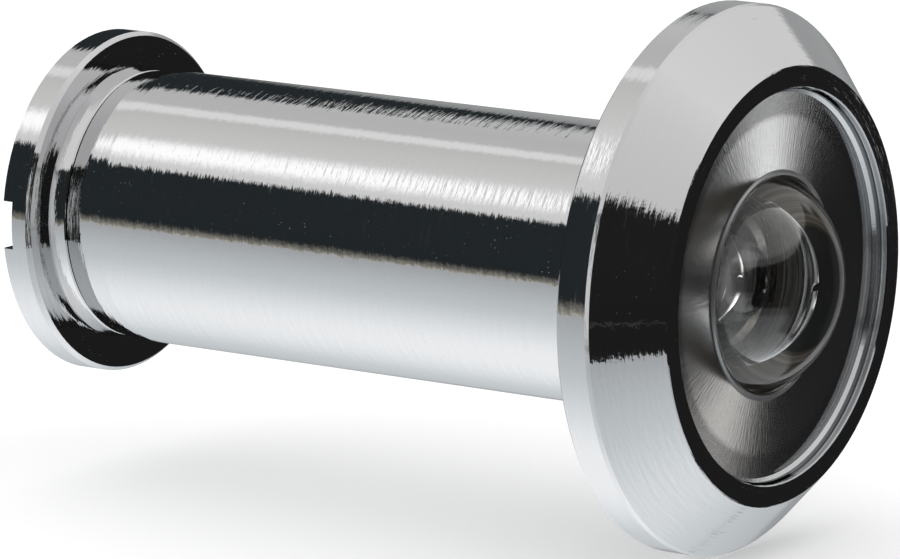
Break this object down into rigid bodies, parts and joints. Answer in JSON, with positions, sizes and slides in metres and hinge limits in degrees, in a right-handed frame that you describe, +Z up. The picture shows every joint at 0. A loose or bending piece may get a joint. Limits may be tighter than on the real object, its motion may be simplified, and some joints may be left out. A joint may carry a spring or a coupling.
{
  "type": "door peephole",
  "caption": "Wide-angle door viewer: a bevelled front flange with a domed lens and a barrel, clamped through a door by a threaded rear sleeve with an eyepiece and coin slots.",
  "frame": {"origin": "on the barrel's axis at the front flange's seat, where the outside face of the door lies", "axes": "+Y along the barrel from the outside of the door to the inside, +Z up, +X to the right as seen from outside"},
  "size_m": [0.0271, 0.0435, 0.027],
  "materials": {
    "chromed_brass": "polished chrome plate with fine buffing marks",
    "satin_chrome": "satin chrome plate with fine marks",
    "bare_brass": "turned bare brass, a little dull",
    "optical_glass": "polished clear glass"
  },
  "bodies": {
    "front": {"front_body": "chromed_brass", "face_ring": "satin_chrome", "objective_lens": "optical_glass", "second_lens": "optical_glass", "spacer_ring": "bare_brass", "third_lens": "optical_glass", "lens_lock_ring": "bare_brass"},
    "travel_carrier": {"eyepiece_lens": "optical_glass"},
    "sleeve": {"rear_sleeve": "chromed_brass", "eyepiece_ring": "chromed_brass"}
  },
  "joints": [
    {"name": "sleeve_travel", "type": "slide", "parent": "front", "child": "travel_carrier", "axis": [0, 1, 0], "range_m": [0, 0.025]},
    {"name": "sleeve_turn", "type": "hinge", "parent": "travel_carrier", "child": "sleeve", "pos_m": [0, 0.035, 0], "axis": [0, 1, 0], "range_deg": [0, 7200]}
  ],
  "couplings": [
    {"joint": "sleeve_travel", "follows": "sleeve_turn", "m_per_rad": 0.00019894}
  ]
}
